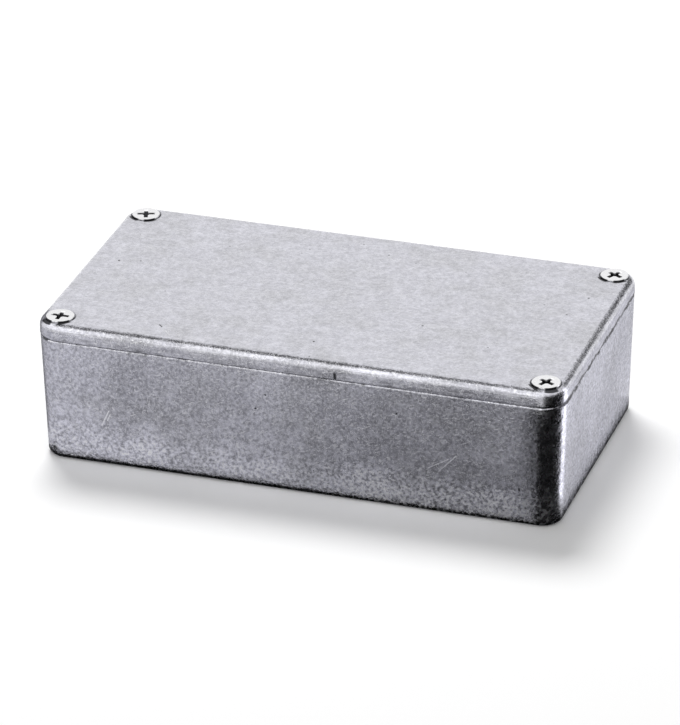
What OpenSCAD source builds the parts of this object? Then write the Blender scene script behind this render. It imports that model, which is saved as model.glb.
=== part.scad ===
// Die cast aluminium box with a screwed lid.
// X runs along the length, the front face looks towards -Y and Z is up.
// The origin is at the middle of the underside. All lengths are in millimetres.

/* [Box] */
// Length of the closed box, over the lid's rim
box_l = 112.4; // [90:0.2:180]
// Width of the closed box, over the lid's rim
box_w = 60.5; // [45:0.5:120]
// Height of the closed box, from its underside to the top of the lid
box_h = 31; // [22:0.5:50]
// Radius of the upright corners at the seam
corner_r = 5.3; // [4.8:0.1:8]
// Draft of every cast wall, in degrees from upright
draft = 1.8; // [0.5:0.1:3]
// Finish colour of the castings
cast_colour = "#b4b4bc"; // [#b4b4bc:Bare casting, #8c8c94:Dull casting, #d0d0d4:Bright casting]

/* [Base] */
// Thickness of the base's walls at the seam
wall_t = 2.1; // [1.6:0.1:2.8]
// Thickness of the base's floor
floor_t = 2.2; // [1.5:0.1:4]
// Radius of the outer edge round the underside
underside_edge_r = 1.2; // [0.4:0.1:2]
// Radius of the inner edge round the floor
floor_edge_r = 1.5; // [0.5:0.1:2]
// Bevel on the two edges that meet at the seam
seam_bevel = 0.25; // [0.1:0.05:0.5]
// How far the base stands in from the lid at the seam
seam_step = 0.1; // [0.05:0.05:0.4]
// Radius of each screw boss at the seam
boss_r = 4; // [3:0.1:5]

/* [Lid] */
// Height of the lid's rim, from the seam to the top of the lid
rim_h = 3.7; // [3.2:0.1:6]
// Thickness of the lid's plate
plate_t = 2.2; // [1.6:0.1:3]
// Radius of the outer edge round the top of the lid
top_edge_r = 1.7; // [0.5:0.1:2.5]
// Depth that the locating lip reaches below the seam
lip_h = 2.2; // [1:0.1:4]
// Thickness of the locating lip at its foot
lip_t = 1.4; // [1:0.1:2]
// Gap between the lip and the base's walls and bosses
lip_gap = 0.3; // [0.2:0.05:0.6]
// Radius round the foot of the lip
lip_edge_r = 0.4; // [0.2:0.05:0.6]
// Radius of the inner edge round the lid's pocket
pocket_edge_r = 0.6; // [0.2:0.1:0.8]

/* [Screws] */
// Distance from each screw's axis to the two sides of the box beside it
screw_inset = 4.5; // [4.2:0.1:6]
// Overall length of a screw, with its head
screw_l = 12; // [8:0.5:16]
// Outer diameter of the thread
thread_d = 3.5; // [2.5:0.1:4]
// Diameter of the head
head_d = 5.9; // [5.5:0.1:7]
// Angle of the head's cone and of its countersink, from side to side
head_angle = 90; // [80:1:100]
// Height of the straight band round the head
head_band = 0.55; // [0.2:0.05:0.8]
// Height by which the head stands above the lid
head_proud = 0.25; // [0:0.05:0.4]
// Bevel round the top of the head
head_bevel = 0.1; // [0.05:0.05:0.15]
// Width of the cross recess over its arms
recess_d = 3.8; // [3:0.1:4.2]
// Depth of the cross recess
recess_depth = 1.6; // [1:0.1:1.8]
// Thickness of each arm of the cross recess
recess_arm = 0.85; // [0.6:0.05:1]
// Diameter of the round middle of the cross recess
recess_core_d = 1.7; // [1.4:0.1:2]
// Bevel round the tip of the screw
tip_bevel = 0.5; // [0.2:0.1:0.8]
// Gap round the head's cone in its countersink
seat_gap = 0.04; // [0.02:0.01:0.1]
// Gap round the thread in the lid's hole
lid_hole_gap = 0.2; // [0.1:0.05:0.4]
// Gap round the thread in the boss's hole
thread_gap = 0.05; // [0.02:0.01:0.1]
// Depth of the boss's hole below the tip of the screw
hole_spare = 1.5; // [0.5:0.5:4]
// Bevel round the mouth of the boss's hole
mouth_bevel = 0.4; // [0.2:0.1:0.6]
// How far the front left screw's cross is turned, in degrees
front_left_turn = 0; // [0:1:89]
// How far the front right screw's cross is turned, in degrees
front_right_turn = 63; // [0:1:89]
// How far the back left screw's cross is turned, in degrees
back_left_turn = 18; // [0:1:89]
// How far the back right screw's cross is turned, in degrees
back_right_turn = 60; // [0:1:89]
// Finish colour of the screws
screw_colour = "#d8d8dc"; // [#d8d8dc:Bright zinc, #a8a8ac:Dull zinc]

/* [Hidden] */
$fn = 96;
// Distance that a cutting solid runs past the face it cuts
over = 1;
// Number of flats along each rounded edge
edge_steps = 6;
// How far a drafted wall moves sideways for each millimetre of height
lean = tan(draft);
// Height of the seam between base and lid
seam_z = box_h - rim_h;
// Size of the base at the seam
base_l = box_l - 2 * seam_step;
base_w = box_w - 2 * seam_step;
base_r = corner_r - seam_step;
// Size of the base's cavity at the seam
cavity_l = base_l - 2 * wall_t;
cavity_w = base_w - 2 * wall_t;
cavity_r = base_r - wall_t;
// Radius round the floor, no larger than the cavity's corners allow
floor_fillet_r = min(floor_edge_r, 0.8 * (cavity_r - lean * (seam_z - floor_t)));
// Size of the lip at the seam, inside the cavity
lip_l = cavity_l - 2 * lip_gap;
lip_w = cavity_w - 2 * lip_gap;
lip_r = cavity_r - lip_gap;
// Size of the lid's pocket at the foot of the lip
pocket_l = lip_l - 2 * lean * lip_h - 2 * lip_t;
pocket_w = lip_w - 2 * lean * lip_h - 2 * lip_t;
pocket_r = max(lip_r - lip_t, pocket_edge_r + lean * (rim_h - plate_t + lip_h) + 0.2);
// Radii of the lip's notch round a boss, and of the solid pad inside the lid above it
notch_r = boss_r + lip_gap;
pad_r = notch_r + lip_t;
// Places of the screws
screw_x = box_l / 2 - screw_inset;
screw_y = box_w / 2 - screw_inset;
// Heights along a screw
head_top_z = box_h + head_proud;
cone_top_z = head_top_z - head_band;
tip_z = head_top_z - screw_l;
// Radii of a screw and the height of its head's cone
thread_r = thread_d / 2;
head_r = head_d / 2;
cone_h = (head_r - thread_r) / tan(head_angle / 2);

// Half outline of a drafted wall: x runs outwards from a corner's axis and y up from the lower
// face. The lower edge is rounded, and the upper one has a bevel where one is given.
module wall_outline(upper_r, height, edge_r, bevel) {
    centre_x = upper_r - lean * (height - edge_r) - edge_r / cos(draft);
    round_edge = [
        for (step = [0:edge_steps])
            let (angle = (90 - draft) * step / edge_steps)
            [centre_x + edge_r * sin(angle), edge_r - edge_r * cos(angle)]
    ];
    upper_end = bevel > 0
        ? [[upper_r - lean * bevel, height - bevel], [upper_r - bevel, height]]
        : [[upper_r, height]];
    polygon(concat([[0, 0]], round_edge, upper_end, [[0, height]]));
}

// A length to the nearest thousandth, so that solids placed side by side meet exactly
function snap(value) = round(value * 1000) / 1000;

// Block with drafted sides and rounded upright corners that stands on z = 0. Its length, width
// and corner radius are those of its upper face.
module drafted_block(length, width, height, upper_r, edge_r, bevel = 0) {
    core_x = snap(length / 2 - upper_r);
    core_y = snap(width / 2 - upper_r);
    translate([-core_x, -core_y, 0]) cube([2 * core_x, 2 * core_y, height]);
    for (side = [0, 1]) {
        mirror([0, side, 0]) translate([-core_x, core_y, 0]) rotate([90, 0, 90])
            linear_extrude(2 * core_x) wall_outline(upper_r, height, edge_r, bevel);
        mirror([side, 0, 0]) translate([core_x, core_y, 0]) rotate([90, 0, 0])
            linear_extrude(2 * core_y) wall_outline(upper_r, height, edge_r, bevel);
    }
    for (flip_x = [0, 1], flip_y = [0, 1])
        mirror([flip_x, 0, 0]) mirror([0, flip_y, 0]) translate([core_x, core_y, 0])
            rotate_extrude(angle = 90) wall_outline(upper_r, height, edge_r, bevel);
}

// Puts a copy of its child at each screw's axis
module at_screws() {
    for (x = [-screw_x, screw_x], y = [-screw_y, screw_y])
        translate([x, y, 0]) children();
}

// Screw boss, a drafted post that rises from the floor
module boss() {
    cylinder(h = seam_z + over, r1 = boss_r + lean * seam_z, r2 = boss_r - lean * over);
}

// Blind hole that takes a screw's thread, with a bevelled mouth
module boss_hole() {
    hole_r = thread_r + thread_gap;
    hole_z = tip_z - hole_spare;
    translate([0, 0, hole_z]) cylinder(h = seam_z - hole_z + over, r = hole_r);
    translate([0, 0, seam_z - mouth_bevel])
        cylinder(h = mouth_bevel + over, r1 = hole_r, r2 = hole_r + mouth_bevel + over);
}

// Hollow inside the base, with the bosses left standing in its corners
module cavity() {
    difference() {
        translate([0, 0, floor_t])
            drafted_block(cavity_l + 2 * lean * over, cavity_w + 2 * lean * over,
                seam_z - floor_t + over, cavity_r + lean * over, floor_fillet_r);
        at_screws() boss();
    }
}

// One casting: floor, four drafted walls and four screw bosses
module base() {
    color(cast_colour) difference() {
        drafted_block(base_l, base_w, seam_z, base_r, underside_edge_r, seam_bevel);
        cavity();
        at_screws() boss_hole();
    }
}

// Hole through the lid for a screw, with the countersink for its head
module lid_hole() {
    hole_r = thread_r + lid_hole_gap;
    sink_r = head_r + seat_gap;
    sink_rise = head_top_z - cone_top_z + over;
    translate([0, 0, seam_z - over]) cylinder(h = rim_h + 2 * over, r = hole_r);
    translate([0, 0, cone_top_z - cone_h])
        cylinder(h = cone_h + sink_rise, r1 = thread_r + seat_gap,
            r2 = sink_r + sink_rise * tan(head_angle / 2));
}

// Hollow under the lid's plate, with solid pads left at the screws
module lid_pocket() {
    pocket_h = rim_h - plate_t + lip_h;
    difference() {
        translate([0, 0, box_h - plate_t]) mirror([0, 0, 1])
            drafted_block(pocket_l + 2 * lean * over, pocket_w + 2 * lean * over,
                pocket_h + over, pocket_r + lean * over, pocket_edge_r);
        at_screws() translate([0, 0, seam_z - lip_h - 2 * over])
            cylinder(h = pocket_h + 3 * over, r = pad_r);
    }
}

// Part of the lid that drops inside the base and finds its place, before its middle is cut out
module lip_block() {
    lip_rise = (rim_h - plate_t) / 2;
    translate([0, 0, seam_z - lip_h])
        drafted_block(lip_l + 2 * lean * lip_rise, lip_w + 2 * lean * lip_rise,
            lip_h + lip_rise, lip_r + lean * lip_rise, lip_edge_r);
}

// One casting: plate, rounded rim, locating lip and four countersunk holes
module lid() {
    color(cast_colour) difference() {
        union() {
            translate([0, 0, box_h]) mirror([0, 0, 1])
                drafted_block(box_l, box_w, rim_h, corner_r, top_edge_r, seam_bevel);
            lip_block();
        }
        lid_pocket();
        at_screws() translate([0, 0, seam_z - lip_h - over])
            cylinder(h = lip_h + over, r = notch_r);
        at_screws() lid_hole();
    }
}

// Cross recess that opens upwards at z = 0
module cross_recess() {
    recess_r = recess_d / 2;
    core_r = recess_core_d / 2;
    intersection() {
        translate([0, 0, -recess_depth])
            cylinder(h = recess_depth + over, r1 = core_r / 2,
                r2 = core_r / 2 + (recess_r - core_r / 2) * (recess_depth + over) / recess_depth);
        union() {
            translate([0, 0, -recess_depth]) cylinder(h = recess_depth + over, r = core_r);
            for (turn = [0, 90])
                rotate([0, 0, turn]) translate([-recess_d, -recess_arm / 2, -recess_depth])
                    cube([2 * recess_d, recess_arm, recess_depth + over]);
        }
    }
}

// Countersunk screw on one of the four axes, with its cross turned by an angle
module screw(x, y, turn) {
    color(screw_colour) translate([x, y, head_top_z]) rotate([0, 0, turn]) difference() {
        rotate_extrude() polygon([
            [0, 0],
            [head_r - head_bevel, 0],
            [head_r, -head_bevel],
            [head_r, -head_band],
            [thread_r, -head_band - cone_h],
            [thread_r, -screw_l + tip_bevel],
            [thread_r - tip_bevel, -screw_l],
            [0, -screw_l]
        ]);
        cross_recess();
    }
}

// The four screws
module screw_front_left() { screw(-screw_x, -screw_y, front_left_turn); }
module screw_front_right() { screw(screw_x, -screw_y, front_right_turn); }
module screw_back_left() { screw(-screw_x, screw_y, back_left_turn); }
module screw_back_right() { screw(screw_x, screw_y, back_right_turn); }

base();
lid();
screw_front_left();
screw_front_right();
screw_back_left();
screw_back_right();
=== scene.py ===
"""Die cast aluminium box: the finished surfaces, screws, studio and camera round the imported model."""

import math

import bmesh
import bpy
from bpy.props import FloatProperty, FloatVectorProperty, IntProperty, PointerProperty
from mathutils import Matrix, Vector


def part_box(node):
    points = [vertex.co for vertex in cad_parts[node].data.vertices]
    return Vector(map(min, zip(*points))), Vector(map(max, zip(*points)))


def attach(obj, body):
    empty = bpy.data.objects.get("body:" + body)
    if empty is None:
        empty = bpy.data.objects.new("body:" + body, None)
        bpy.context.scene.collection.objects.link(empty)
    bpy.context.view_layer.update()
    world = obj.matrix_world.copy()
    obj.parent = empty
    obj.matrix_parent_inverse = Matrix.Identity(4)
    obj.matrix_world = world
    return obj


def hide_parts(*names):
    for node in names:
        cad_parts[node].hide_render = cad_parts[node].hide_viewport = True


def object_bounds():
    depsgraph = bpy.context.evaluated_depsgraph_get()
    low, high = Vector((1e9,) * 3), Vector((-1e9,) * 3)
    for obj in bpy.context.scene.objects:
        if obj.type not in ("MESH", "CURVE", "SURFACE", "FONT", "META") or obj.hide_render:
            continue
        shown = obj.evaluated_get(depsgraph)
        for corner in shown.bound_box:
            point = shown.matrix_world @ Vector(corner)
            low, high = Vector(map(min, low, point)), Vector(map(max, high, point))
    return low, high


bl_info = {
    "name": "Die Cast Box",
    "version": (1, 0, 0),
    "blender": (4, 5, 0),
    "location": "View3D > Sidebar > Box",
    "description": "Builds a die cast aluminium box with a screwed lid",
    "category": "Mesh",
}

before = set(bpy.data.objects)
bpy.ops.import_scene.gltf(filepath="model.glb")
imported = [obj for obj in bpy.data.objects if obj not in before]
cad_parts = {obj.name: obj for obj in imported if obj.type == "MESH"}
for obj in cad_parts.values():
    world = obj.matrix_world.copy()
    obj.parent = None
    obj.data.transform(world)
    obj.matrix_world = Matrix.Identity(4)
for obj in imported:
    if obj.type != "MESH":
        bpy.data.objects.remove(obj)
CAD_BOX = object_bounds()

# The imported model's boxes give every size that follows the outside of the box.
BASE_LOW, BASE_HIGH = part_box("base")
LID_LOW, LID_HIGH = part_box("lid")
SCREW_NODES = [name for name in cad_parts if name.startswith("screw_")]
SCREW_LOW, SCREW_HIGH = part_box("screw_front_left")

# Pieces are shaped in millimetres, where small bevels stay exact, and are scaled to metres at the end.
MM = 1000.0


# ---------------------------------------------------------------------------------------------
# Sizes and colours
# ---------------------------------------------------------------------------------------------


def length(name, description, default):
    """A length in metres, which the sidebar shows in the scene's unit."""
    return FloatProperty(name=name, description=description, default=default, unit="LENGTH", precision=5)


def turn(name, description, default):
    """An angle, given in degrees."""
    return FloatProperty(name=name, description=description, default=math.radians(default), unit="ROTATION")


def colour(name, description, default):
    return FloatVectorProperty(
        name=name, description=description, default=default, subtype="COLOR", size=3, min=0, max=1
    )


class CastingSizes(bpy.types.PropertyGroup):
    """Sizes that the base and the lid share, and those of each."""

    corner_radius: length("Corner radius", "Outer radius of the upright corners at the seam", 0.0053)
    draft: turn("Draft", "Lean of the cast walls", 1.8)
    wall: length("Wall", "Thickness of the base's walls at the seam", 0.0021)
    floor: length("Floor", "Thickness of the base's floor", 0.0022)
    underside_edge: length("Underside edge", "Radius of the edge round the underside", 0.0012)
    floor_edge: length("Floor edge", "Radius of the inner edge round the floor", 0.0015)
    seam_edge: length("Seam edge", "Radius of the two edges that meet at the seam", 0.00045)
    boss: length("Boss", "Radius of a screw boss at the seam", 0.004)
    top_edge: length("Top edge", "Radius of the edge round the top of the lid", 0.0017)
    plate: length("Plate", "Thickness of the lid's plate", 0.0022)
    lip: length("Lip", "Thickness of the lid's locating lip", 0.0014)
    lip_gap: length("Lip gap", "Gap between the lip and the base", 0.0003)
    lip_edge: length("Lip edge", "Radius round the foot of the lip", 0.0004)
    pocket_edge: length("Pocket edge", "Radius of the inner edge round the lid's pocket", 0.0006)
    corner_steps: IntProperty(name="Corner steps", description="Faces round an upright corner", default=20)
    edge_steps: IntProperty(name="Edge steps", description="Faces across a rounded edge", default=8)


class ScrewSizes(bpy.types.PropertyGroup):
    """Sizes of the four countersunk screws and of the holes they go in."""

    thread: length("Thread", "Outer radius of the thread", 0.00175)
    core: length("Core", "Radius at the root of the thread", 0.00138)
    pitch: length("Pitch", "Rise of the thread in one turn", 0.0008)
    plain: length("Plain shank", "Height from the top of the head to the start of the thread", 0.0034)
    point: length("Point", "Bevel round the tip", 0.0005)
    head_band: length("Head band", "Height of the straight band round the head", 0.00055)
    head_edge: length("Head edge", "Radius round the top of the head", 0.00012)
    cone_angle: turn("Cone angle", "Angle of the head's cone, from side to side", 90)
    recess: length("Recess", "Width of the cross recess over its arms", 0.0038)
    recess_depth: length("Recess depth", "Depth of the cross recess", 0.0016)
    recess_arm: length("Recess arm", "Thickness of an arm of the cross recess", 0.00085)
    recess_core: length("Recess middle", "Radius of the round middle of the cross recess", 0.00085)
    seat_gap: length("Seat gap", "Gap round the head's cone in its countersink", 0.00004)
    lid_gap: length("Lid gap", "Gap round the thread in the lid", 0.0002)
    thread_gap: length("Thread gap", "Gap round the thread in the boss", 0.00005)
    hole_spare: length("Hole spare", "Depth of the boss's hole below the tip", 0.0015)
    mouth: length("Mouth", "Bevel round the mouth of the boss's hole", 0.0004)
    front_left_turn: turn("Front left", "How far the front left cross is turned", 0)
    front_right_turn: turn("Front right", "How far the front right cross is turned", 63)
    back_left_turn: turn("Back left", "How far the back left cross is turned", 18)
    back_right_turn: turn("Back right", "How far the back right cross is turned", 60)


class BoxFinish(bpy.types.PropertyGroup):
    """Colours, gloss and grain of the two finishes."""

    cast: colour("Casting", "Colour of the bare casting", (0.60, 0.60, 0.655))
    stain: colour("Stain", "Colour of the casting's duller patches", (0.55, 0.55, 0.59))
    worn: colour("Worn metal", "Colour of scratches and rubbed edges", (0.82, 0.82, 0.85))
    # This dark colour is also the painted shade round the screw heads and down in their cross recesses.
    dirt_and_shade: colour("Dirt_and_shade", "Colour of the dirt in pits and corners", (0.05, 0.05, 0.055))
    cast_roughness: FloatProperty(name="Casting roughness", description="Gloss of the casting", default=0.27)
    grain: length("Grain", "Size of the tumbled grain", 0.0005)
    grain_depth: length("Grain depth", "Depth of the tumbled grain", 0.00002)
    scratch_depth: length("Scratch depth", "Depth of the scratches", 0.000008)
    screw: colour("Screw", "Colour of the plated screws", (0.87, 0.87, 0.88))
    screw_roughness: FloatProperty(name="Screw roughness", description="Gloss of the screws", default=0.22)


class StudioSetup(bpy.types.PropertyGroup):
    """Where the camera stands and how the studio is lit."""

    azimuth: turn("Azimuth", "Camera's turn round the box", 18.3)
    elevation: turn("Elevation", "Camera's height angle", 26.59)
    roll: turn("Roll", "Camera's turn about its own axis", 0.61)
    distance: length("Distance", "From the camera to the middle of the box", 1.0687)
    lens: FloatProperty(name="Lens", description="Focal length in millimetres", default=255.8)
    floor: colour("Floor", "Colour of the floor", (0.92, 0.92, 0.92))
    floor_glow: FloatProperty(
        name="Floor glow", description="Light that the floor adds for the camera and the metal", default=0.03
    )
    key_azimuth: turn("Key azimuth", "Key lamp's turn round the box", -150)
    key_elevation: turn("Key elevation", "Key lamp's height angle", 62)
    key_distance: length("Key distance", "From the key lamp to the box", 1.2)
    key_size: length("Key size", "Diameter of the key lamp", 0.5)
    key_power: FloatProperty(name="Key power", description="Power of the key lamp in watts", default=10.5)
    flag_azimuth: turn("Flag azimuth", "Dark flag's turn round the box", 157)
    flag_elevation: turn("Flag elevation", "Dark flag's height angle", 22)
    flag_distance: length("Flag distance", "From the dark flag to the box", 0.6)
    flag_width: length("Flag width", "Width of the dark flag", 0.30)
    flag_height: length("Flag height", "Height of the dark flag", 0.24)
    flag: FloatProperty(name="Flag", description="Brightness of the dark flag", default=0.03)
    card_lift: length("Card lift", "Height of the cards above the floor", 0.0001)
    fill: FloatProperty(
        name="Fill", description="Share of the sky's light that dull surfaces get", default=0.42
    )
    front_sky: FloatProperty(
        name="Front sky", description="Brightness of the sky in front of the box", default=1.45
    )
    overhead: FloatProperty(
        name="Overhead", description="Brightness of the dark panel overhead", default=0.03
    )


# ---------------------------------------------------------------------------------------------
# Modelling
# ---------------------------------------------------------------------------------------------


def deselect_all():
    """Leaves edit mode and selects nothing."""
    if bpy.context.object and bpy.context.object.mode != "OBJECT":
        bpy.ops.object.mode_set(mode="OBJECT")
    bpy.ops.object.select_all(action="DESELECT")


def edit(obj):
    """Makes one object active and enters its edit mode."""
    deselect_all()
    bpy.context.view_layer.objects.active = obj
    obj.select_set(True)
    bpy.ops.object.mode_set(mode="EDIT")


def done():
    bpy.ops.object.mode_set(mode="OBJECT")
    return bpy.context.object


def pick(kind, wanted):
    """Selects the faces or edges of the object in edit mode for which wanted(element) is true."""
    mesh = bmesh.from_edit_mesh(bpy.context.object.data)
    bpy.ops.mesh.select_mode(type=kind)
    bpy.ops.mesh.select_all(action="DESELECT")
    for element in mesh.faces if kind == "FACE" else mesh.edges:
        if wanted(element):
            element.select_set(True)
    bmesh.update_edit_mesh(bpy.context.object.data)


def tidy():
    """Merges doubled points and turns every face outwards, in edit mode."""
    bpy.ops.mesh.select_mode(type="VERT")
    bpy.ops.mesh.select_all(action="SELECT")
    bpy.ops.mesh.remove_doubles(threshold=0.0005)
    bpy.ops.mesh.normals_make_consistent(inside=False)


def drafted_block(name, size, upper_r, lean, edge_r, sizes, bevel=0.0):
    """Block with rounded corners on z = 0. Size and radius are those of its upper face, whose edge
    may be bevelled; the sides lean in towards the lower face, whose edge is rounded."""
    long, wide, high = size
    deselect_all()
    bpy.ops.mesh.primitive_plane_add(size=1, location=(0, 0, 0))
    block = bpy.context.object
    block.name = name
    edit(block)
    bpy.ops.mesh.select_all(action="SELECT")
    bpy.ops.transform.resize(value=(long, wide, 1))
    bpy.ops.transform.translate(value=(0, 0, high))
    bpy.ops.mesh.bevel(
        offset=upper_r, offset_type="OFFSET", segments=sizes.corner_steps, profile=0.5, affect="VERTICES"
    )
    bpy.ops.mesh.select_all(action="SELECT")
    bpy.ops.mesh.duplicate()
    bpy.ops.mesh.flip_normals()
    bpy.ops.mesh.inset(thickness=lean * high, depth=high, use_even_offset=True)
    tidy()
    pick("EDGE", lambda e: all(v.co.z < 0.001 for v in e.verts))
    bpy.ops.mesh.bevel(offset=edge_r, segments=sizes.edge_steps, profile=0.5, affect="EDGES")
    if bevel:
        pick("EDGE", lambda e: all(v.co.z > high - 0.001 for v in e.verts))
        bpy.ops.mesh.bevel(offset=bevel, segments=3, profile=0.5, affect="EDGES")
    tidy()
    return done()


def place(obj, z=0.0, upside_down=False):
    """Moves a shaped block to its height, turned over first where asked, and applies it."""
    deselect_all()
    obj.select_set(True)
    bpy.context.view_layer.objects.active = obj
    if upside_down:
        obj.rotation_euler = (math.pi, 0, 0)
    obj.location.z = z
    bpy.ops.object.transform_apply(location=True, rotation=True, scale=True)
    return obj


def combine(obj, other, operation):
    """Joins, cuts or crosses one solid with another, which is used up."""
    deselect_all()
    bpy.context.view_layer.objects.active = obj
    modifier = obj.modifiers.new("combine", "BOOLEAN")
    modifier.operation = operation
    modifier.solver = "EXACT"
    modifier.object = other
    bpy.ops.object.modifier_apply(modifier=modifier.name)
    bpy.data.objects.remove(other, do_unlink=True)
    return obj


def traced(name, outline):
    """Line through (x, z) points in the XZ plane, drawn by extruding a single point."""
    deselect_all()
    bpy.ops.mesh.primitive_plane_add(size=1, location=(0, 0, 0))
    line = bpy.context.object
    line.name = name
    edit(line)
    bpy.ops.mesh.select_mode(type="VERT")
    bpy.ops.mesh.select_all(action="SELECT")
    bpy.ops.mesh.merge(type="CENTER")
    bpy.ops.transform.translate(value=(outline[0][0], 0, outline[0][1]))
    for (x, z), (next_x, next_z) in zip(outline, outline[1:]):
        bpy.ops.mesh.extrude_region_move(TRANSFORM_OT_translate={"value": (next_x - x, 0, next_z - z)})
    return line


def turned(name, outline, steps):
    """Solid of revolution about Z from (radius, height) points, the first and last on the axis."""
    traced(name, outline)
    bpy.ops.mesh.select_all(action="SELECT")
    bpy.ops.mesh.spin(steps=steps, angle=math.tau, center=(0, 0, 0), axis=(0, 0, 1))
    tidy()
    return done()


def quarter(centre_r, centre_z, radius, steps):
    """Points of a quarter circle from straight up to straight out, as (radius, height) pairs."""
    angles = [math.pi / 2 * step / steps for step in range(steps + 1)]
    return [(centre_r + radius * math.sin(a), centre_z + radius * math.cos(a)) for a in angles]


def finish_piece(obj, material, smooth_angle=30):
    """Scales a piece to metres, smooths its curves, keeps its flats flat and gives it its material."""
    deselect_all()
    obj.select_set(True)
    bpy.context.view_layer.objects.active = obj
    bpy.ops.object.shade_smooth_by_angle(angle=math.radians(smooth_angle))
    modifier = obj.modifiers.new("flats", "WEIGHTED_NORMAL")
    modifier.keep_sharp = True
    bpy.ops.object.modifier_apply(modifier=modifier.name)
    obj.scale = (1 / MM,) * 3
    bpy.ops.object.transform_apply(location=True, rotation=True, scale=True)
    obj.data.materials.clear()
    obj.data.materials.append(material)
    return obj


def screw_places():
    """Each screw node's name with its axis in millimetres."""
    places = {}
    for name in SCREW_NODES:
        low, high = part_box(name)
        places[name] = ((low.x + high.x) / 2 * MM, (low.y + high.y) / 2 * MM)
    return places


def at_screws(make):
    """One solid made of a copy of the maker's solid at each screw's axis."""
    whole = None
    for x, y in screw_places().values():
        part = make()
        part.location = (x, y, 0)
        deselect_all()
        part.select_set(True)
        bpy.context.view_layer.objects.active = part
        bpy.ops.object.transform_apply(location=True, rotation=True, scale=True)
        if whole is not None:
            whole.select_set(True)
            bpy.context.view_layer.objects.active = whole
            bpy.ops.object.join()
        whole = bpy.context.object
    return whole


# ---------------------------------------------------------------------------------------------
# Pieces
# ---------------------------------------------------------------------------------------------


def build_base(cast, screw):
    """Tray with bosses and threaded holes."""
    lean = math.tan(cast.draft)
    seam = BASE_HIGH.z * MM
    long = (BASE_HIGH.x - BASE_LOW.x) * MM
    wide = (BASE_HIGH.y - BASE_LOW.y) * MM
    step = (LID_HIGH.x - BASE_HIGH.x) * MM
    radius = cast.corner_radius * MM - step
    wall = cast.wall * MM
    floor = cast.floor * MM
    over = 1.0
    base = drafted_block(
        "base_casting", (long, wide, seam), radius, lean, cast.underside_edge * MM, cast, cast.seam_edge * MM
    )
    grow = 2 * lean * over
    cavity = drafted_block(
        "cavity",
        (long - 2 * wall + grow, wide - 2 * wall + grow, seam - floor + over),
        radius - wall + lean * over,
        lean,
        cast.floor_edge * MM,
        cast,
    )
    place(cavity, floor)
    boss = cast.boss * MM

    def boss_post():
        low = -over
        high = seam + 2 * over
        foot_r = boss + lean * (seam - low)
        head_r = boss - lean * 2 * over
        return turned("boss", [(0, low), (foot_r, low), (head_r, high), (0, high)], 64)

    combine(cavity, at_screws(boss_post), "DIFFERENCE")
    combine(base, cavity, "DIFFERENCE")
    hole_r = (screw.thread + screw.thread_gap) * MM
    mouth = screw.mouth * MM
    bottom = (SCREW_LOW.z - screw.hole_spare) * MM

    def boss_hole():
        return turned(
            "hole",
            [
                (0, bottom - hole_r * 0.5),
                (hole_r, bottom),
                (hole_r, seam - mouth),
                (hole_r + mouth, seam),
                (hole_r + mouth + over, seam + over),
                (0, seam + over),
            ],
            48,
        )

    combine(base, at_screws(boss_hole), "DIFFERENCE")
    return base


def build_lid(cast, screw):
    """Plate with a rounded rim, a locating lip and four countersinks."""
    lean = math.tan(cast.draft)
    seam = BASE_HIGH.z * MM
    top = LID_HIGH.z * MM
    foot = LID_LOW.z * MM
    long = (LID_HIGH.x - LID_LOW.x) * MM
    wide = (LID_HIGH.y - LID_LOW.y) * MM
    step = (LID_HIGH.x - BASE_HIGH.x) * MM
    radius = cast.corner_radius * MM
    over = 1.0
    lid = drafted_block(
        "lid_casting", (long, wide, top - seam), radius, lean, cast.top_edge * MM, cast, cast.seam_edge * MM
    )
    place(lid, top, upside_down=True)

    inset = step + (cast.wall + cast.lip_gap) * MM
    lip_r = radius - inset
    rise = 0.7
    grow = lean * rise
    lip = drafted_block(
        "lip",
        (long - 2 * inset + 2 * grow, wide - 2 * inset + 2 * grow, seam - foot + rise),
        lip_r + grow,
        lean,
        cast.lip_edge * MM,
        cast,
    )
    place(lip, foot)
    combine(lid, lip, "UNION")

    thick = cast.lip * MM
    plate_z = top - cast.plate * MM
    deep = plate_z - foot
    shrink = 2 * (inset + lean * (seam - foot) + thick)
    pocket_r = max(lip_r - thick, cast.pocket_edge * MM + lean * deep + 0.2) + lean * over
    pocket = drafted_block(
        "pocket",
        (long - shrink + 2 * lean * over, wide - shrink + 2 * lean * over, deep + over),
        pocket_r,
        lean,
        cast.pocket_edge * MM,
        cast,
    )
    place(pocket, plate_z, upside_down=True)
    notch_r = (cast.boss + cast.lip_gap) * MM

    def pad():
        low = foot - 2 * over
        high = plate_z + over
        return turned("pad", [(0, low), (notch_r + thick, low), (notch_r + thick, high), (0, high)], 64)

    def notch():
        return turned("notch", [(0, foot - over), (notch_r, foot - over), (notch_r, seam), (0, seam)], 64)

    def countersink():
        hole_r = (screw.thread + screw.lid_gap) * MM
        head_r = (SCREW_HIGH.x - SCREW_LOW.x) / 2 * MM
        sink_r = head_r + screw.seat_gap * MM
        cone_z = (SCREW_HIGH.z - screw.head_band) * MM
        slope = math.tan(screw.cone_angle / 2)
        rise_z = over
        return turned(
            "countersink",
            [
                (0, foot - over),
                (hole_r, foot - over),
                (hole_r, cone_z - (sink_r - hole_r) / slope),
                (sink_r + rise_z * slope, cone_z + rise_z),
                (0, cone_z + rise_z),
            ],
            64,
        )

    combine(pocket, at_screws(pad), "DIFFERENCE")
    combine(lid, pocket, "DIFFERENCE")
    combine(lid, at_screws(notch), "DIFFERENCE")
    combine(lid, at_screws(countersink), "DIFFERENCE")
    return lid


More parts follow.
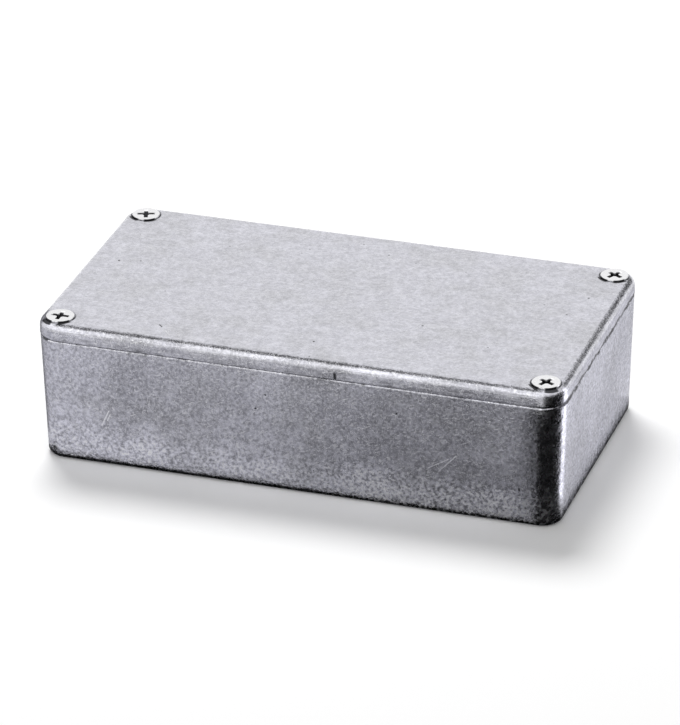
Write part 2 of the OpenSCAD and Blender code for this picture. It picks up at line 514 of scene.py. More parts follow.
def thread_ridge(screw, low, high):
    """Helical ridge whose root is buried in the core, with both of its ends closed."""
    pitch = screw.pitch * MM
    inner = screw.core * MM - 0.1
    outer = screw.thread * MM
    root = 0.42 * pitch
    crest = 0.06 * pitch
    traced("thread", [(inner, low - root), (outer, low - crest), (outer, low + crest), (inner, low + root)])
    bpy.ops.mesh.select_all(action="SELECT")
    bpy.ops.mesh.edge_face_add()
    bpy.ops.mesh.delete(type="ONLY_FACE")
    ridge = done()
    modifier = ridge.modifiers.new("helix", "SCREW")
    modifier.axis = "Z"
    modifier.screw_offset = pitch
    modifier.iterations = math.ceil((high - low) / pitch)
    modifier.steps = 32
    modifier.render_steps = 32
    bpy.ops.object.modifier_apply(modifier=modifier.name)
    edit(ridge)
    bpy.ops.mesh.select_all(action="SELECT")
    bpy.ops.mesh.fill_holes(sides=0)
    tidy()
    return done()


def recess_arm(screw, top, angle):
    """Tapered block that cuts one arm of the cross, right across the head."""
    depth = screw.recess_depth * MM
    over = 0.4
    reach = screw.recess / 2 * MM
    foot = reach * 0.42
    half = screw.recess_arm / 2 * MM
    deselect_all()
    bpy.ops.mesh.primitive_cube_add(size=2, location=(0, 0, 0))
    arm = bpy.context.object
    edit(arm)
    bpy.ops.mesh.select_all(action="SELECT")
    bpy.ops.transform.resize(value=(reach + (reach - foot) * over / depth, half * 1.08, (depth + over) / 2))
    bpy.ops.transform.translate(value=(0, 0, top + (over - depth) / 2))
    pick("FACE", lambda f: f.normal.z < -0.9)
    bpy.ops.transform.resize(value=(foot / (reach + (reach - foot) * over / depth), 0.7, 1))
    bpy.ops.mesh.select_all(action="SELECT")
    bpy.ops.transform.rotate(value=angle, orient_axis="Z", center_override=(0, 0, 0))
    return done()


def build_screw(screw):
    """One countersunk screw on the Z axis, with its cross along X and Y."""
    head_r = (SCREW_HIGH.x - SCREW_LOW.x) / 2 * MM
    top = SCREW_HIGH.z * MM
    tip = SCREW_LOW.z * MM
    edge = screw.head_edge * MM
    band_z = top - screw.head_band * MM
    core = screw.core * MM
    outer = screw.thread * MM
    neck = (core + outer) / 2
    point = screw.point * MM
    slope = math.tan(screw.cone_angle / 2)
    thread_z = top - screw.plain * MM
    solid = turned(
        "screw",
        [
            (0, top),
            *quarter(head_r - edge, top - edge, edge, 4),
            (head_r, band_z),
            (neck, band_z - (head_r - neck) / slope),
            (neck, thread_z),
            (core, thread_z - (neck - core)),
            (core, tip + 0.3),
            (core - 0.3, tip),
            (0, tip),
        ],
        64,
    )
    ridge = thread_ridge(screw, tip - screw.pitch * MM, thread_z + screw.pitch * MM)
    spare = 0.05
    sleeve = turned(
        "sleeve",
        [
            (0, tip),
            (outer - point, tip),
            (outer + spare, tip + point + spare),
            (outer + spare, thread_z - (outer + spare - neck)),
            (neck, thread_z),
            (0, thread_z),
        ],
        64,
    )
    combine(ridge, sleeve, "INTERSECT")
    combine(solid, ridge, "UNION")
    depth = screw.recess_depth * MM
    middle = screw.recess_core * MM
    cutter = turned(
        "recess",
        [(0, top - depth - 0.3), (middle * 0.6, top - depth), (middle * 1.1, top + 0.4), (0, top + 0.4)],
        32,
    )
    for angle in (0, math.pi / 2):
        combine(cutter, recess_arm(screw, top, angle), "UNION")
    combine(solid, cutter, "DIFFERENCE")
    return solid


def copied(obj, name, x, y, angle):
    """Copy of a piece with a mesh of its own, turned about Z and moved, with its place in its mesh."""
    deselect_all()
    obj.select_set(True)
    bpy.context.view_layer.objects.active = obj
    bpy.ops.object.duplicate(linked=False)
    copy = bpy.context.object
    copy.name = name
    copy.rotation_euler.z = angle
    copy.location = (x, y, 0)
    bpy.ops.object.transform_apply(location=True, rotation=True, scale=True)
    return copy


# ---------------------------------------------------------------------------------------------
# Materials
# ---------------------------------------------------------------------------------------------


def add_node(tree, kind, sockets=None, **settings):
    """Adds a node with its settings. Each socket named takes a value, or a link from another socket."""
    node = tree.nodes.new(kind)
    for name, value in settings.items():
        setattr(node, name, value)
    for name, value in (sockets or {}).items():
        if isinstance(value, bpy.types.NodeSocket):
            tree.links.new(value, node.inputs[name])
        else:
            node.inputs[name].default_value = value
    return node


def maths(tree, operation, *values):
    """Output of a Math node on up to three values or sockets."""
    node = add_node(tree, "ShaderNodeMath", dict(enumerate(values)), operation=operation)
    return node.outputs[0]


def vector_maths(tree, operation, *values):
    node = add_node(tree, "ShaderNodeVectorMath", dict(enumerate(values)), operation=operation)
    return node.outputs["Value" if operation in ("LENGTH", "DOT_PRODUCT", "DISTANCE") else "Vector"]


def ramp(tree, value, low, high, low_out=0.0, high_out=1.0):
    """Smooth step of a value from one level to another."""
    node = add_node(
        tree,
        "ShaderNodeMapRange",
        {"Value": value, "From Min": low, "From Max": high, "To Min": low_out, "To Max": high_out},
        interpolation_type="SMOOTHSTEP",
    )
    return node.outputs["Result"]


def band(tree, value, middle, half, soft=0.06):
    """Mask of a value that lies within half of a middle."""
    off = maths(tree, "ABSOLUTE", maths(tree, "SUBTRACT", value, middle))
    return ramp(tree, off, half + soft / 2, half - soft / 2)


def noise(tree, spot, scale, detail=2.0, roughness=0.5):
    return add_node(
        tree, "ShaderNodeTexNoise", {"Vector": spot, "Scale": scale, "Detail": detail, "Roughness": roughness}
    ).outputs["Fac"]


def blend_colour(tree, mask, under, over):
    node = tree.nodes.new("ShaderNodeMix")
    node.data_type = "RGBA"
    colour_sockets = {"Factor_Float": mask, "A_Color": under, "B_Color": over}
    for socket in node.inputs:
        value = colour_sockets.get(socket.identifier)
        if value is None:
            continue
        if isinstance(value, bpy.types.NodeSocket):
            tree.links.new(value, socket)
        else:
            socket.default_value = value
    return next(socket for socket in node.outputs if socket.identifier == "Result_Color")


def new_group(name, inputs, outputs):
    """Empty shader node group with named sockets, as its tree, its inputs and its outputs."""
    group = bpy.data.node_groups.new(name, "ShaderNodeTree")
    kinds = {"value": "NodeSocketFloat", "vector": "NodeSocketVector"}
    for label, kind in inputs:
        group.interface.new_socket(label, in_out="INPUT", socket_type=kinds[kind])
    for label in outputs:
        group.interface.new_socket(label, in_out="OUTPUT", socket_type="NodeSocketFloat")
    return group, group.nodes.new("NodeGroupInput").outputs, group.nodes.new("NodeGroupOutput").inputs


def grain_group():
    """Tumbled grain: small soft dents of one size, with a share of smaller ones."""
    name = "tumbled grain"
    if name in bpy.data.node_groups:
        return bpy.data.node_groups[name]
    tree, given, result = new_group(name, [("Spot", "vector"), ("Size", "value")], ["Tone", "Height"])
    scale = maths(tree, "DIVIDE", 1.0, given["Size"])
    dents = noise(tree, given["Spot"], scale, 2, 0.55)
    shifted = vector_maths(tree, "ADD", given["Spot"], (0.31, 0.17, 0.53))
    tones = noise(tree, shifted, maths(tree, "MULTIPLY", scale, 0.7), 3, 0.6)
    tree.links.new(ramp(tree, dents, 0.3, 0.7), result["Height"])
    tree.links.new(ramp(tree, tones, 0.3, 0.7), result["Tone"])
    return tree


def scratch_group():
    """Fine scratches: straight, short and all along one direction, which a turn sets."""
    name = "fine scratches"
    if name in bpy.data.node_groups:
        return bpy.data.node_groups[name]
    tree, given, result = new_group(
        name,
        [("Spot", "vector"), ("Turn", "vector"), ("Length", "value"), ("Width", "value"), ("Share", "value")],
        ["Mask"],
    )
    across = maths(tree, "DIVIDE", 1.0, given["Width"])
    along = maths(tree, "DIVIDE", 1.0, given["Length"])
    stretch = add_node(tree, "ShaderNodeCombineXYZ", {0: along, 1: across, 2: across}).outputs[0]
    turned_spot = add_node(
        tree, "ShaderNodeMapping", {"Vector": given["Spot"], "Rotation": given["Turn"]}
    ).outputs[0]
    lines = noise(tree, vector_maths(tree, "MULTIPLY", turned_spot, stretch), 1.0, 0)
    level = maths(tree, "SUBTRACT", 1.0, given["Share"])
    tree.links.new(ramp(tree, maths(tree, "SUBTRACT", lines, level), 0.0, 0.06), result["Mask"])
    return tree


def line_group():
    """Single mark: a straight dent or smear between two points, strongest along its middle."""
    name = "single mark"
    if name in bpy.data.node_groups:
        return bpy.data.node_groups[name]
    tree, given, result = new_group(
        name, [("Spot", "vector"), ("Start", "vector"), ("End", "vector"), ("Width", "value")], ["Mask"]
    )
    way = vector_maths(tree, "SUBTRACT", given["End"], given["Start"])
    offset = vector_maths(tree, "SUBTRACT", given["Spot"], given["Start"])
    covered = vector_maths(tree, "DOT_PRODUCT", offset, way)
    share = maths(tree, "DIVIDE", covered, vector_maths(tree, "DOT_PRODUCT", way, way))
    share = add_node(tree, "ShaderNodeClamp", {"Value": share}).outputs[0]
    scaled = add_node(tree, "ShaderNodeVectorMath", {0: way, "Scale": share}, operation="SCALE").outputs[0]
    distance = vector_maths(tree, "DISTANCE", offset, scaled)
    half = maths(tree, "MULTIPLY", given["Width"], 0.5)
    tree.links.new(ramp(tree, maths(tree, "DIVIDE", distance, half), 1.0, 0.3), result["Mask"])
    return tree


def head_shade_group():
    """Painted shade round a screw's head, heavier in two arcs towards the front."""
    name = "head grime"
    if name in bpy.data.node_groups:
        return bpy.data.node_groups[name]
    tree, given, result = new_group(name, [("Spot", "vector"), ("Corner", "vector")], ["Radius", "Arcs"])
    own = vector_maths(tree, "SUBTRACT", vector_maths(tree, "ABSOLUTE", given["Spot"]), given["Corner"])
    own = vector_maths(tree, "MULTIPLY", own, vector_maths(tree, "SIGN", given["Spot"]))
    own = vector_maths(tree, "MULTIPLY", own, (1, 1, 0))
    outward = vector_maths(tree, "NORMALIZE", own)
    arcs = 0.0
    for side in (-39, 35):
        way = (math.sin(math.radians(side)), -math.cos(math.radians(side)), 0)
        arc = ramp(tree, vector_maths(tree, "DOT_PRODUCT", outward, way), 0.88, 0.94)
        arcs = maths(tree, "MAXIMUM", arcs, arc)
    tree.links.new(vector_maths(tree, "LENGTH", own), result["Radius"])
    tree.links.new(arcs, result["Arcs"])
    return tree


def round_heads(tree, spot):
    """Places the painted shade round the heads, whose four corners are mirror images."""
    x, y = (abs(value) / MM for value in screw_places()[SCREW_NODES[0]])
    return placed(tree, head_shade_group(), {"Spot": spot, "Corner": (x, y, 0)})


def placed(tree, group, sockets):
    """Places a node group with its values and gives its outputs."""
    node = tree.nodes.new("ShaderNodeGroup")
    node.node_tree = group
    for name, value in sockets.items():
        if isinstance(value, bpy.types.NodeSocket):
            tree.links.new(value, node.inputs[name])
        else:
            node.inputs[name].default_value = value
    return node.outputs


def new_material(name):
    """Empty node material, as the material, its tree, its shader and the Object coordinates."""
    material = bpy.data.materials.new(name)
    material.use_nodes = True
    tree = material.node_tree
    shader = tree.nodes["Principled BSDF"]
    spot = tree.nodes.new("ShaderNodeTexCoord").outputs
    return material, tree, shader, spot


def scratch_layers(tree, spot, layers):
    """Strongest of several layers of scratches, each a (turn in degrees, length, width, share)."""
    mask = 0.0
    for angles, long, wide, share in layers:
        layer = placed(
            tree,
            scratch_group(),
            {
                "Spot": spot,
                "Turn": [math.radians(angle) for angle in angles],
                "Length": long,
                "Width": wide,
                "Share": share,
            },
        )["Mask"]
        mask = maths(tree, "MAXIMUM", mask, layer)
    return mask


# Single marks in the castings: the start, the end and the width of each, in millimetres.
BRIGHT_MARKS = (
    ((30.4, -29.7, 9.7), (34.2, -29.8, 13.9), 0.32),
    ((28.2, -29.7, 10.2), (32.6, -29.8, 12.9), 0.32),
    ((-41.8, -29.6, 9.4), (-40.2, -29.7, 12.9), 0.4),
    ((-40.6, -29.6, 10.6), (-39.9, -29.7, 12.2), 0.3),
    ((-28.9, -25.6, 31.0), (-27.4, -27.4, 31.0), 0.25),
)
DARK_MARKS = (
    ((-30.9, -23.5, 31.0), (-30.1, -24.3, 31.0), 0.4),
    ((8.8, -30.2, 28.7), (8.9, -30.25, 27.8), 0.9),
)


# Darker patches in the front face, in the same way.
DARKER_PATCHES = (
    ((-11, -29.7, 9), (-3, -29.7, 13), 12),
    ((-38, -29.7, 8), (-36, -29.8, 22), 13),
    ((16, -29.6, 10), (20, -29.7, 14), 9),
)


def single_mark(tree, spot, start, end, width):
    """Places one single mark, given in millimetres."""
    ends = {"Start": [value / MM for value in start], "End": [value / MM for value in end]}
    return placed(tree, line_group(), {"Spot": spot, "Width": width / MM, **ends})["Mask"]


def casting_material(finish):
    """Bare tumbled aluminium: soft dents, duller patches, bright scratches, soiling at the seam and painted
    shade round the screw heads.
    """
    name = "tumbled casting"
    if name in bpy.data.materials:
        return bpy.data.materials[name]
    material, tree, shader, coords = new_material(name)
    spot = coords["Object"]
    place_parts = add_node(tree, "ShaderNodeSeparateXYZ", {0: spot}).outputs
    height_z = place_parts["Z"]
    facing = add_node(tree, "ShaderNodeSeparateXYZ", {0: coords["Normal"]}).outputs
    flat = ramp(tree, maths(tree, "ABSOLUTE", facing["Z"]), 0.8, 0.98)
    seam = BASE_HIGH.z
    rim = maths(tree, "MULTIPLY", ramp(tree, height_z, seam - 0.0002, seam + 0.0002), ramp(tree, flat, 1, 0))

    grain = placed(tree, grain_group(), {"Spot": spot, "Size": finish.grain})
    coarse = placed(tree, grain_group(), {"Spot": spot, "Size": finish.grain * 3.2})
    clouds = noise(tree, spot, 110, 4, 0.65)
    patches = ramp(tree, clouds, 0.42, 0.66)
    streaks = noise(tree, vector_maths(tree, "MULTIPLY", spot, (120, 2400, 2400)), 1.0, 2)
    scratches = scratch_layers(
        tree,
        spot,
        [
            ((0, 25, 0), 0.0016, 0.00016, 0.27),
            ((0, -38, 12), 0.0014, 0.00018, 0.27),
            ((0, 80, 0), 0.0012, 0.00018, 0.25),
            ((0, 0, 34), 0.0020, 0.00014, 0.26),
            ((0, 0, -62), 0.0017, 0.00014, 0.25),
            ((70, 0, 90), 0.0016, 0.00016, 0.25),
        ],
    )
    scratches = maths(tree, "MULTIPLY", scratches, ramp(tree, flat, 0, 1, 1.0, 0.45))
    low = ramp(tree, maths(tree, "ADD", height_z, maths(tree, "MULTIPLY", clouds, 0.008)), 0.0155, 0.0080)
    rubbed = maths(tree, "MULTIPLY", low, ramp(tree, facing["Y"], -0.5, -0.9))
    rubbed = maths(tree, "MULTIPLY", rubbed, ramp(tree, place_parts["X"], 0.0, 0.02, 0.5, 1.0))
    level = maths(tree, "ADD", noise(tree, spot, 1500, 0), maths(tree, "MULTIPLY", rubbed, 0.18))
    specks = ramp(tree, level, 0.72, 0.80, 0.0, 0.8)
    spots = maths(tree, "MULTIPLY", specks, ramp(tree, flat, 0, 1, 1.0, 0.3))
    scratches = maths(tree, "MAXIMUM", scratches, spots)
    marks = 0.0
    for start, end, width in BRIGHT_MARKS:
        marks = maths(tree, "MAXIMUM", marks, single_mark(tree, spot, start, end, width))
    scratches = maths(tree, "MAXIMUM", scratches, marks)

    above = maths(tree, "SUBTRACT", height_z, seam + 0.0001)
    off_seam = maths(tree, "ABSOLUTE", above)
    flash = noise(tree, vector_maths(tree, "MULTIPLY", spot, (420, 420, 1400)), 1.0, 2)
    sideways = maths(tree, "ABSOLUTE", facing["X"])
    spread = maths(tree, "MULTIPLY", sideways, ramp(tree, flash, 0.4, 0.6, 0.0002, 0.0006))
    joint_line = ramp(tree, maths(tree, "SUBTRACT", off_seam, spread), 0.00018, 0.00009)
    joint_line = maths(tree, "MULTIPLY", joint_line, ramp(tree, flash, 0.35, 0.6, 0.6, 0.95))
    blots = ramp(tree, flash, 0.54, 0.70, 0.0, 0.6)
    blots = maths(tree, "MULTIPLY", blots, ramp(tree, off_seam, 0.0009, 0.0002))
    seam_dirt = maths(tree, "MAXIMUM", joint_line, blots)
    seam_dirt = maths(tree, "MULTIPLY", seam_dirt, ramp(tree, flat, 0, 1, 1.0, 0.15))
    # Painted shade: a dark ring in the gap round each screw head, broken up by noise, with heavier arcs
    # towards the front.
    heads = round_heads(tree, spot)
    head_r = (SCREW_HIGH.x - SCREW_LOW.x) / 2
    head_ring_shade = band(tree, heads["Radius"], head_r + 0.00012, 0.00019, 0.0001)
    head_ring_shade = maths(tree, "MULTIPLY", head_ring_shade, ramp(tree, flash, 0.4, 0.6, 0.3, 0.8))
    arc_band = band(tree, heads["Radius"], head_r + 0.00025, 0.00045, 0.0001)
    head_ring_shade = maths(tree, "MAXIMUM", head_ring_shade, maths(tree, "MULTIPLY", heads["Arcs"], arc_band))
    head_ring_shade = maths(tree, "MULTIPLY", head_ring_shade, ramp(tree, height_z, seam, seam + 0.0002))
    pits = ramp(tree, noise(tree, spot, 900, 0), 0.86, 0.90)
    for start, end, width in DARK_MARKS:
        pits = maths(tree, "MAXIMUM", pits, single_mark(tree, spot, start, end, width))
    # The dark mask holds the soiling at the seam, the pits and marks, and the painted shade round the screw
    # heads.
    dirt_and_head_shade = maths(tree, "MAXIMUM", seam_dirt, maths(tree, "MAXIMUM", head_ring_shade, pits))

    colour = blend_colour(tree, patches, (*finish.cast, 1), (*finish.stain, 1))
    # Partly painted reflection: the grain's tone and the shade noise vary more on the upright faces than on
    # the top, standing in for the mottled reflections that the upright faces show.
    contrast = ramp(tree, maths(tree, "MAXIMUM", flat, maths(tree, "MULTIPLY", rim, 0.6)), 0, 1, 0.62, 0.24)
    contrast = maths(tree, "ADD", contrast, maths(tree, "MULTIPLY", rubbed, 0.7))
    tone = maths(tree, "MULTIPLY", maths(tree, "SUBTRACT", grain["Tone"], 0.5), contrast)
    tone = maths(tree, "ADD", tone, 1.0)
    tone = maths(tree, "MULTIPLY", tone, ramp(tree, streaks, 0.3, 0.7, 0.97, 1.03))
    tone = maths(tree, "MULTIPLY", tone, ramp(tree, noise(tree, spot, 420, 3, 0.6), 0.3, 0.7, 0.92, 1.08))
    shade = ramp(tree, noise(tree, spot, 48, 2), 0.36, 0.62, 1.08, 0.84)
    tone = maths(tree, "MULTIPLY", tone, ramp(tree, flat, 0, 1, shade, 1.0))
    darker_patch = 0.0
    for start, end, width in DARKER_PATCHES:
        darker_patch = maths(tree, "MAXIMUM", darker_patch, single_mark(tree, spot, start, end, width))
    tone = maths(tree, "MULTIPLY", tone, ramp(tree, darker_patch, 0, 1, 1.0, 0.90))
    tone = maths(tree, "MULTIPLY", tone, ramp(tree, rubbed, 0, 1, 1.0, 1.35))
    drawn_out = vector_maths(tree, "MULTIPLY", spot, (130, 130, 2600))
    rim_lines = ramp(tree, noise(tree, drawn_out, 1.0, 2), 0.3, 0.7, 0.80, 1.16)
    tone = maths(tree, "MULTIPLY", tone, ramp(tree, rim, 0, 1, 1.0, rim_lines))
    colour = add_node(tree, "ShaderNodeVectorMath", {0: colour, "Scale": tone}, operation="SCALE").outputs[0]
    colour = blend_colour(tree, scratches, colour, (*finish.worn, 1))
    colour = blend_colour(tree, dirt_and_head_shade, colour, (*finish.dirt_and_shade, 1))
    tree.links.new(colour, shader.inputs["Base Color"])

    shader.inputs["Metallic"].default_value = 1
    rough = maths(tree, "ADD", finish.cast_roughness - 0.04, maths(tree, "MULTIPLY", coarse["Tone"], 0.06))
    rough = maths(tree, "ADD", rough, maths(tree, "MULTIPLY", scratches, 0.04))
    worn = maths(tree, "MAXIMUM", marks, maths(tree, "MULTIPLY", specks, rubbed))
    rough = maths(tree, "ADD", rough, maths(tree, "MULTIPLY", worn, 0.25))
    tree.links.new(rough, shader.inputs["Roughness"])

    relief = maths(tree, "ADD", grain["Height"], maths(tree, "MULTIPLY", coarse["Height"], 1.6))
    depth = ramp(tree, rim, 0, 1, finish.grain_depth, finish.grain_depth * 0.5)
    relief = maths(tree, "MULTIPLY", relief, depth)
    cuts = maths(tree, "MULTIPLY", scratches, finish.scratch_depth)
    cuts = maths(tree, "ADD", cuts, maths(tree, "MULTIPLY", marks, finish.scratch_depth * 5))
    relief = maths(tree, "SUBTRACT", relief, cuts)
    bump = add_node(tree, "ShaderNodeBump", {"Height": relief, "Distance": 1.0, "Strength": 1.0})
    tree.links.new(bump.outputs[0], shader.inputs["Normal"])
    return material


def screw_material(finish, screw):
    """Bright zinc plate: fine turning marks, a few scuffs, and painted shade down in the cross and on the
    head's side in two arcs towards the front.
    """
    name = "zinc plate"
    if name in bpy.data.materials:
        return bpy.data.materials[name]
    material, tree, shader, coords = new_material(name)
    spot = coords["Object"]
    heads = round_heads(tree, spot)
    radius = heads["Radius"]
    height_z = add_node(tree, "ShaderNodeSeparateXYZ", {0: spot}).outputs["Z"]

    ring_number = maths(tree, "FLOOR", maths(tree, "MULTIPLY", radius, 9000))
    rings = add_node(tree, "ShaderNodeTexWhiteNoise", {"W": ring_number}, noise_dimensions="1D")
    grain = placed(tree, grain_group(), {"Spot": spot, "Size": finish.grain * 0.6})
    scuffs = scratch_layers(
        tree, spot, [((0, 0, 20), 0.0016, 0.0001, 0.3), ((0, 0, 75), 0.0014, 0.0001, 0.28)]
    )

    # Painted shade down in the cross recess, and on the side of the head in the two arcs towards the front,
    # both in the dark colour.
    low = SCREW_HIGH.z - screw.recess_depth - 0.0004
    reach = screw.recess / 2
    inside = ramp(tree, height_z, SCREW_HIGH.z - 0.00005, SCREW_HIGH.z - 0.0004)
    inside = maths(tree, "MULTIPLY", inside, ramp(tree, height_z, low - 0.0001, low))
    inside = maths(tree, "MULTIPLY", inside, ramp(tree, radius, reach + 0.0001, reach - 0.0001))
    head_r = (SCREW_HIGH.x - SCREW_LOW.x) / 2
    side = maths(tree, "MULTIPLY", ramp(tree, radius, head_r - 0.0001, head_r - 0.00005), heads["Arcs"])
    inside = maths(tree, "MAXIMUM", inside, side)
    dulled = ramp(tree, grain["Tone"], 0, 1, 0.0, 0.12)
    colour = blend_colour(tree, dulled, (*finish.screw, 1), (*finish.stain, 1))
    colour = blend_colour(tree, inside, colour, (*finish.dirt_and_shade, 1))
    tree.links.new(colour, shader.inputs["Base Color"])
    shader.inputs["Metallic"].default_value = 1
    rough = maths(tree, "ADD", finish.screw_roughness, maths(tree, "MULTIPLY", inside, 0.3))
    rough = maths(tree, "ADD", rough, maths(tree, "MULTIPLY", scuffs, 0.1))
    tree.links.new(rough, shader.inputs["Roughness"])
    relief = maths(tree, "MULTIPLY", rings.outputs["Value"], 0.0000006)
    relief = maths(tree, "ADD", relief, maths(tree, "MULTIPLY", grain["Height"], 0.000003))
    relief = maths(tree, "SUBTRACT", relief, maths(tree, "MULTIPLY", scuffs, 0.000003))
    bump = add_node(tree, "ShaderNodeBump", {"Height": relief, "Distance": 1.0, "Strength": 1.0})
    tree.links.new(bump.outputs[0], shader.inputs["Normal"])
    return material


# ---------------------------------------------------------------------------------------------
# Operators
# ---------------------------------------------------------------------------------------------


class BOX_OT_base(bpy.types.Operator):
    """Builds the base casting"""

    bl_idname = "box.base"
    bl_label = "Base"

    def execute(self, context):
        scene = context.scene
        base = build_base(scene.box_casting, scene.box_screw)
        finish_piece(base, casting_material(scene.box_finish))
        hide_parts("base")
        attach(base, "base")
        return {"FINISHED"}


class BOX_OT_lid(bpy.types.Operator):
    """Builds the lid casting"""

    bl_idname = "box.lid"
    bl_label = "Lid"

    def execute(self, context):
        scene = context.scene
        lid = build_lid(scene.box_casting, scene.box_screw)
        finish_piece(lid, casting_material(scene.box_finish))
        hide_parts("lid")
        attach(lid, "lid")
        return {"FINISHED"}


class BOX_OT_screws(bpy.types.Operator):
    """Builds the four screws"""

    bl_idname = "box.screws"
    bl_label = "Screws"

    def execute(self, context):
        scene = context.scene
        pattern = build_screw(scene.box_screw)
        for node, (x, y) in screw_places().items():
            corner = node.removeprefix("screw_")
            angle = getattr(scene.box_screw, corner + "_turn")
            screw = copied(pattern, corner + "_screw", x, y, angle)
            finish_piece(screw, screw_material(scene.box_finish, scene.box_screw))
            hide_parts(node)
            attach(screw, node)
        bpy.data.objects.remove(pattern, do_unlink=True)
        return {"FINISHED"}


class BOX_OT_stage(bpy.types.Operator):
    """Sets up the floor, the reflection cards, the light and the camera"""

    bl_idname = "box.stage"
    bl_label = "Stage"

    def execute(self, context):
        studio = context.scene.box_studio
        build_floor(studio)
        build_cards(studio)
        build_light(studio)
        build_camera(studio)
        return {"FINISHED"}


def direction(azimuth, elevation):
    """Unit vector out from the box, turned from the front face towards the right and then raised."""
    level = math.cos(elevation)
    return Vector((math.sin(azimuth) * level, -math.cos(azimuth) * level, math.sin(elevation)))


def build_floor(studio):
    """Pale floor, which glows a little for the camera and the metal, and keeps the box's shadow."""
    deselect_all()
    bpy.ops.mesh.primitive_plane_add(size=6, location=(0, 0, 0))
    floor = bpy.context.object
    floor.name = "floor"
    material, tree, shader, _ = new_material("floor")
    shader.inputs["Base Color"].default_value = (*studio.floor, 1)
    shader.inputs["Roughness"].default_value = 0.9
    shader.inputs["Specular IOR Level"].default_value = 0.0
    shader.inputs["Emission Color"].default_value = (1, 1, 1, 1)
    path = tree.nodes.new("ShaderNodeLightPath").outputs
    seen = maths(tree, "MAXIMUM", path["Is Camera Ray"], path["Is Glossy Ray"])
    tree.links.new(maths(tree, "MULTIPLY", seen, studio.floor_glow), shader.inputs["Emission Strength"])
    floor.data.materials.append(material)


# Cards that show in the metal alone: they darken the front face, and put a dark band and a bright line
# down the front right corner. Each has a name, the axis and the two ends in millimetres of
# its change in brightness, the brightness at those ends, its height, which is 0 for a card on the
# floor, and its points in millimetres.
CARDS = (
    ("foot_card", "X", 0, 1, 0.0, 0.0, 0, ((-57.5, -31.5), (56.8, -31.5), (56.8, 31.5), (-57.5, 31.5))),
    (
        "front_card", "X", -60, 45, 0.60, 0.23, 0,
        ((-57.5, -31.5), (50, -31.5), (50, -115), (-150, -115), (-150, 0), (-57.5, 0)),
    ),
    ("right_card", "Y", -20, 60, 0.80, 0.74, 0, ((56.8, -20), (120, -10), (120, 110), (56.8, 110))),
    (
        "corner_card", "X", 0, 1, 0.0, 0.0, 0,
        ((49.6, -31.5), (47.4, -38.5), (63.3, -38.5), (63, -23.5), (57.5, -24)),
    ),
    ("low_screen", "X", 0, 1, 0.0, 0.0, 23, ((47.4, -38.5), (54, -38.5), (55.1, -37.5))),
    (
        "corner_screen", "X", 0, 1, 0.0, 0.0, 33.2,
        ((55.1, -37.5), (59, -35.5), (62.5, -31.5), (63.5, -27.0), (63.0, -23.5)),
    ),
    ("corner_strip", "X", 0, 1, 2.1, 2.1, 33.2, ((63.0, -23.3), (60.7, -19.3))),
    ("left_screen", "X", 0, 1, 0.25, 0.25, 33.2, ((-62.1, -25.2), (-61.2, -21.8), (-58.6, -18.0))),
)


def reflection_card(card, name, axis, low, high, low_glow, high_glow):
    """Makes a card show in the metal alone, with its brightness running along an axis."""
    card.name = name
    material = bpy.data.materials.new(name)
    material.use_nodes = True
    tree = material.node_tree
    tree.nodes.remove(tree.nodes["Principled BSDF"])
    spot = tree.nodes.new("ShaderNodeTexCoord").outputs["Object"]
    along = add_node(tree, "ShaderNodeSeparateXYZ", {0: spot}).outputs[axis]
    strength = ramp(tree, along, low, high, low_glow, high_glow)
    glow = add_node(tree, "ShaderNodeEmission", {"Color": (0.97, 0.97, 1.03, 1), "Strength": strength})
    tree.links.new(glow.outputs[0], tree.nodes["Material Output"].inputs["Surface"])
    material.cycles.emission_sampling = "NONE"
    card.data.materials.append(material)
    card.visible_camera = False
    card.visible_diffuse = False
    card.visible_transmission = False
    card.visible_volume_scatter = False
    card.visible_shadow = False


def build_cards(studio):
    """Cards round the foot of the box, and a dark flag hanging behind it."""
    for level, (name, axis, low, high, low_glow, high_glow, rise, points) in enumerate(CARDS):
        traced(name, points)
        bpy.ops.mesh.select_all(action="SELECT")
        if rise:
            bpy.ops.mesh.extrude_region_move(TRANSFORM_OT_translate={"value": (0, -rise, 0)})
        else:
            bpy.ops.mesh.edge_face_add()
        card = done()
        card.rotation_euler.x = -math.pi / 2
        card.scale = (1 / MM,) * 3
        card.location.z = studio.card_lift * (level + 1)
        bpy.ops.object.transform_apply(location=True, rotation=True, scale=True)
        reflection_card(card, name, axis, low / MM, high / MM, low_glow, high_glow)
    way = direction(studio.flag_azimuth, studio.flag_elevation)
    deselect_all()
    bpy.ops.mesh.primitive_plane_add(
        size=1, location=way * studio.flag_distance, rotation=way.to_track_quat("Z", "Y").to_euler()
    )
    flag = bpy.context.object
    flag.scale = (studio.flag_width, studio.flag_height, 1)
    reflection_card(flag, "flag", "X", -1, 1, studio.flag, studio.flag)


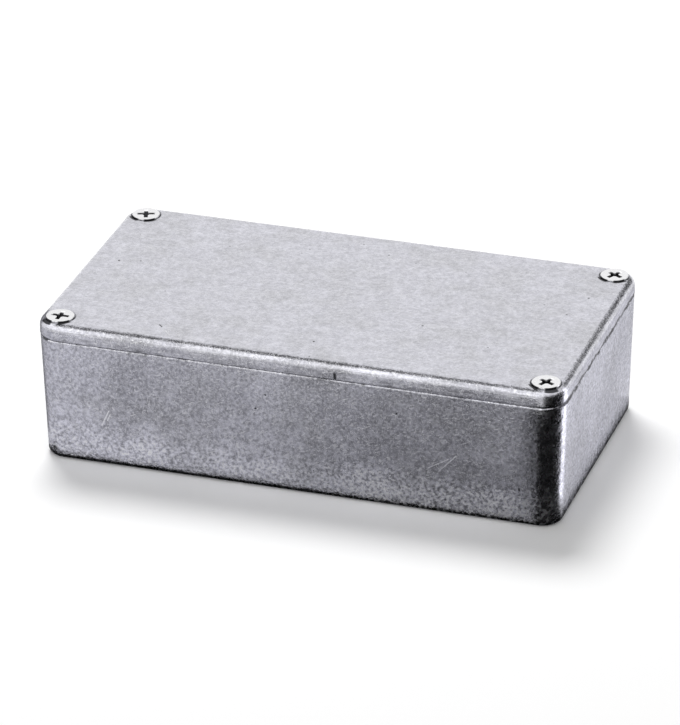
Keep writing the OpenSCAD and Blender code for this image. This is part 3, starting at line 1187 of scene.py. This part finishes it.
def build_light(studio):
    """Soft key lamp, and a pale sky that is brighter in front and has a dark panel overhead."""
    deselect_all()
    way = direction(studio.key_azimuth, studio.key_elevation)
    bpy.ops.object.light_add(type="AREA", location=way * studio.key_distance)
    key = bpy.context.object
    key.name = "key"
    key.rotation_euler = way.to_track_quat("Z", "Y").to_euler()
    key.data.shape = "DISK"
    key.data.size = studio.key_size
    key.data.energy = studio.key_power
    key.visible_glossy = False

    world = bpy.data.worlds.new("studio")
    bpy.context.scene.world = world
    world.use_nodes = True
    tree = world.node_tree
    background = tree.nodes["Background"]
    way = tree.nodes.new("ShaderNodeTexCoord").outputs["Generated"]
    parts = add_node(tree, "ShaderNodeSeparateXYZ", {0: way}).outputs
    panel = band(tree, parts["X"], -0.28, 0.18)
    panel = maths(tree, "MULTIPLY", panel, band(tree, parts["Y"], 0.0, 0.34))
    panel = maths(tree, "MULTIPLY", panel, ramp(tree, parts["Z"], 0.5, 0.6))
    front = ramp(tree, parts["Z"], 0.0, 0.4, 0.8, studio.front_sky)
    sky = ramp(tree, parts["Y"], -0.2, 0.3, front, 1.0)
    sky = maths(tree, "MULTIPLY", sky, ramp(tree, panel, 0, 1, 1.0, studio.overhead))
    path = tree.nodes.new("ShaderNodeLightPath").outputs
    fill = ramp(tree, path["Is Diffuse Ray"], 0, 1, 1.0, studio.fill)
    sky = maths(tree, "MULTIPLY", sky, fill)
    background.inputs["Color"].default_value = (1, 1, 1, 1)
    seen = path["Is Camera Ray"]
    strength = add_node(tree, "ShaderNodeMix", {"Factor": seen, "A": sky, "B": 1.0}).outputs[0]
    tree.links.new(strength, background.inputs["Strength"])


def build_camera(studio):
    middle = (CAD_BOX[0] + CAD_BOX[1]) / 2
    back = direction(studio.azimuth, studio.elevation)
    deselect_all()
    bpy.ops.object.camera_add(location=middle + back * studio.distance)
    camera = bpy.context.object
    facing = (-back).to_track_quat("-Z", "Y").to_matrix().to_4x4()
    camera.rotation_euler = facing.to_euler()
    camera.rotation_euler.rotate_axis("Z", -studio.roll)
    camera.data.lens = studio.lens
    camera.data.sensor_width = 36
    camera.data.clip_end = 50
    bpy.context.scene.camera = camera
    bpy.context.scene.view_settings.view_transform = "Standard"


class BOX_PT_panel(bpy.types.Panel):
    """Lists the steps that build the box"""

    bl_idname = "BOX_PT_panel"
    bl_label = "Die Cast Box"
    bl_space_type = "VIEW_3D"
    bl_region_type = "UI"
    bl_category = "Box"

    def draw(self, context):
        for step in STEPS:
            self.layout.operator(step.bl_idname)


STEPS = (BOX_OT_stage, BOX_OT_base, BOX_OT_lid, BOX_OT_screws)
GROUPS = (CastingSizes, ScrewSizes, BoxFinish, StudioSetup)


def register():
    for cls in (*GROUPS, *STEPS, BOX_PT_panel):
        bpy.utils.register_class(cls)
    bpy.types.Scene.box_casting = PointerProperty(type=CastingSizes)
    bpy.types.Scene.box_screw = PointerProperty(type=ScrewSizes)
    bpy.types.Scene.box_finish = PointerProperty(type=BoxFinish)
    bpy.types.Scene.box_studio = PointerProperty(type=StudioSetup)


def unregister():
    del bpy.types.Scene.box_casting
    del bpy.types.Scene.box_screw
    del bpy.types.Scene.box_finish
    del bpy.types.Scene.box_studio
    for cls in reversed((*GROUPS, *STEPS, BOX_PT_panel)):
        bpy.utils.unregister_class(cls)


def main():
    register()
    bpy.ops.box.stage()
    bpy.ops.box.base()
    bpy.ops.box.lid()
    bpy.ops.box.screws()


if __name__ == "__main__":
    main()
